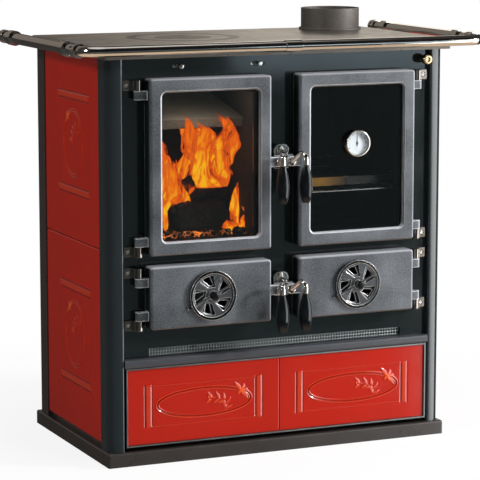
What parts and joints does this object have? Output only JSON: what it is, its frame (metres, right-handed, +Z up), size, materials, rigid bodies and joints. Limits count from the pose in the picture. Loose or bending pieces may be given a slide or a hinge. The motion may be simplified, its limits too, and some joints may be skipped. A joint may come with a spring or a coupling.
{
  "type": "wood-burning cook stove",
  "caption": "Free-standing wood-burning cook stove with glazed fire door, oven door, ash and soot doors, red tile cladding, wood drawer, ringed cast iron hob, flue collar and chrome hand rail",
  "frame": {"origin": "on the floor, under the middle of the overall width and depth", "axes": "+X to the stove's right-hand side as seen by the cook in front, +Y to the back, +Z up; the doors face -Y"},
  "size_m": [0.926, 0.548, 0.908],
  "materials": {
    "black_enamel": "black enamel, fairly glossy",
    "pillar_enamel": "glossy black enamel that mirrors the room",
    "facade_enamel": "blue-black gloss enamel",
    "red_glaze": "deep red majolica glaze with relief",
    "rear_sheet": "grey-black painted sheet",
    "grille_steel": "brushed steel",
    "chrome": "polished chrome",
    "rail_chrome": "polished chrome tube",
    "door_iron": "grey cast iron, fine grain",
    "register_iron": "grey cast iron with bright edges",
    "door_glass": "clear ceramic glass",
    "rope_seal": "grey glass-fibre rope",
    "black_grip": "gloss black",
    "needle_steel": "black needle",
    "box_steel": "heat-darkened steel",
    "fire_clay": "fire clay darkened by soot",
    "raw_iron": "dark raw cast iron",
    "ash_steel": "galvanised sheet",
    "oven_enamel": "dark speckled enamel",
    "rack_wire": "plated wire",
    "tray_enamel": "dark enamel",
    "hob_iron": "worn grey cast iron",
    "hob_plate_iron": "worn, lighter cast iron",
    "hob_ring_iron": "worn cast iron",
    "hob_lid_iron": "worn cast iron",
    "damper_brass": "turned brass knob on a steel rod"
  },
  "bodies": {
    "stove_body": {"plinth": "black_enamel", "front_pillar_left": "pillar_enamel", "front_pillar_right": "pillar_enamel", "side_panel_left": "black_enamel", "side_panel_right": "black_enamel", "side_tiles_left": "red_glaze", "side_tiles_right": "red_glaze", "rear_panel": "rear_sheet", "front_plate": "facade_enamel", "vent_grille": "grille_steel", "drawer_ledge": "facade_enamel", "hinge_brackets": "chrome", "latch_keepers": "chrome", "firebox_shell": "box_steel", "firebricks": "fire_clay", "fire_grate": "raw_iron", "smoke_baffle": "fire_clay", "ash_pan": "ash_steel", "oven_box": "oven_enamel", "oven_rack": "rack_wire", "oven_tray": "tray_enamel", "drawer_runners": "grille_steel", "hob_frame": "hob_iron", "hob_main_plate": "hob_plate_iron", "flue_collar": "raw_iron", "rail_front_left": "rail_chrome", "rail_front_right": "rail_chrome", "rail_sleeve": "rail_chrome", "rail_side_left": "rail_chrome", "rail_side_right": "rail_chrome", "rail_collars": "rail_chrome", "rail_brackets": "rail_chrome"},
    "fire_door": {"fire_door_frame": "door_iron", "fire_door_glass": "door_glass", "fire_door_gasket": "rope_seal"},
    "fire_door_latch": {"fire_door_handle": "chrome", "fire_door_grip": "black_grip"},
    "oven_door": {"oven_door_frame": "door_iron", "oven_door_glass": "door_glass", "oven_door_gasket": "rope_seal", "oven_thermometer": "chrome"},
    "oven_door_latch": {"oven_door_handle": "chrome", "oven_door_grip": "black_grip"},
    "oven_needle": {"thermometer_needle": "needle_steel"},
    "ash_door": {"ash_door_panel": "door_iron"},
    "ash_register": {"ash_door_register": "register_iron"},
    "ash_door_latch": {"ash_door_handle": "chrome", "ash_door_grip": "black_grip"},
    "soot_door": {"soot_door_panel": "door_iron"},
    "soot_register": {"soot_door_register": "register_iron"},
    "soot_door_latch": {"soot_door_handle": "chrome", "soot_door_grip": "black_grip"},
    "wood_drawer": {"drawer_front_frame": "grille_steel", "drawer_tiles": "red_glaze", "drawer_tray": "rear_sheet"},
    "outer_ring": {"hob_ring_outer": "hob_ring_iron"},
    "inner_ring": {"hob_ring_inner": "hob_plate_iron"},
    "lid": {"hob_lid": "hob_lid_iron"},
    "damper": {"flue_damper": "damper_brass"},
    "air_control": {"air_slide": "chrome"}
  },
  "joints": [
    {"name": "fire_door_hinge", "type": "hinge", "parent": "stove_body", "child": "fire_door", "pos_m": [-0.318, -0.194, 0.6165], "axis": [0, 0, -1], "range_deg": [0, 110]},
    {"name": "fire_door_handle_turn", "type": "hinge", "parent": "fire_door", "child": "fire_door_latch", "pos_m": [-0.013, -0.209, 0.6165], "axis": [0, 1, 0], "range_deg": [0, 75]},
    {"name": "ash_door_hinge", "type": "hinge", "parent": "stove_body", "child": "ash_door", "pos_m": [-0.318, -0.194, 0.349], "axis": [0, 0, -1], "range_deg": [0, 110]},
    {"name": "ash_door_handle_turn", "type": "hinge", "parent": "ash_door", "child": "ash_door_latch", "pos_m": [-0.013, -0.209, 0.349], "axis": [0, 1, 0], "range_deg": [0, 75]},
    {"name": "oven_door_hinge", "type": "hinge", "parent": "stove_body", "child": "oven_door", "pos_m": [0.318, -0.194, 0.6165], "axis": [0, 0, 1], "range_deg": [0, 110]},
    {"name": "oven_door_handle_turn", "type": "hinge", "parent": "oven_door", "child": "oven_door_latch", "pos_m": [0.013, -0.209, 0.6165], "axis": [0, -1, 0], "range_deg": [0, 75]},
    {"name": "soot_door_hinge", "type": "hinge", "parent": "stove_body", "child": "soot_door", "pos_m": [0.318, -0.194, 0.349], "axis": [0, 0, 1], "range_deg": [0, 110]},
    {"name": "soot_door_handle_turn", "type": "hinge", "parent": "soot_door", "child": "soot_door_latch", "pos_m": [0.013, -0.209, 0.349], "axis": [0, -1, 0], "range_deg": [0, 75]},
    {"name": "ash_register_turn", "type": "hinge", "parent": "ash_door", "child": "ash_register", "pos_m": [-0.166, -0.218, 0.349], "axis": [0, 1, 0], "range_deg": [0, 36]},
    {"name": "soot_register_turn", "type": "hinge", "parent": "soot_door", "child": "soot_register", "pos_m": [0.166, -0.218, 0.349], "axis": [0, 1, 0], "range_deg": [0, 36]},
    {"name": "oven_needle_turn", "type": "hinge", "parent": "oven_door", "child": "oven_needle", "pos_m": [0.166, -0.2138, 0.647], "axis": [0, 1, 0], "range_deg": [-120, 120], "stiffness_Nm_per_rad": 0.00002},
    {"name": "wood_drawer_slide", "type": "slide", "parent": "stove_body", "child": "wood_drawer", "axis": [0, -1, 0], "range_m": [0, 0.3]},
    {"name": "outer_ring_lift", "type": "slide", "parent": "stove_body", "child": "outer_ring", "axis": [0, 0, 1], "range_m": [0, 0.06]},
    {"name": "inner_ring_lift", "type": "slide", "parent": "outer_ring", "child": "inner_ring", "axis": [0, 0, 1], "range_m": [0, 0.06]},
    {"name": "lid_lift", "type": "slide", "parent": "inner_ring", "child": "lid", "axis": [0, 0, 1], "range_m": [0, 0.06]},
    {"name": "damper_pull", "type": "slide", "parent": "stove_body", "child": "damper", "axis": [0, -1, 0], "range_m": [0, 0.06]},
    {"name": "air_slide_move", "type": "slide", "parent": "stove_body", "child": "air_control", "axis": [1, 0, 0], "range_m": [-0.012, 0.012]}
  ]
}
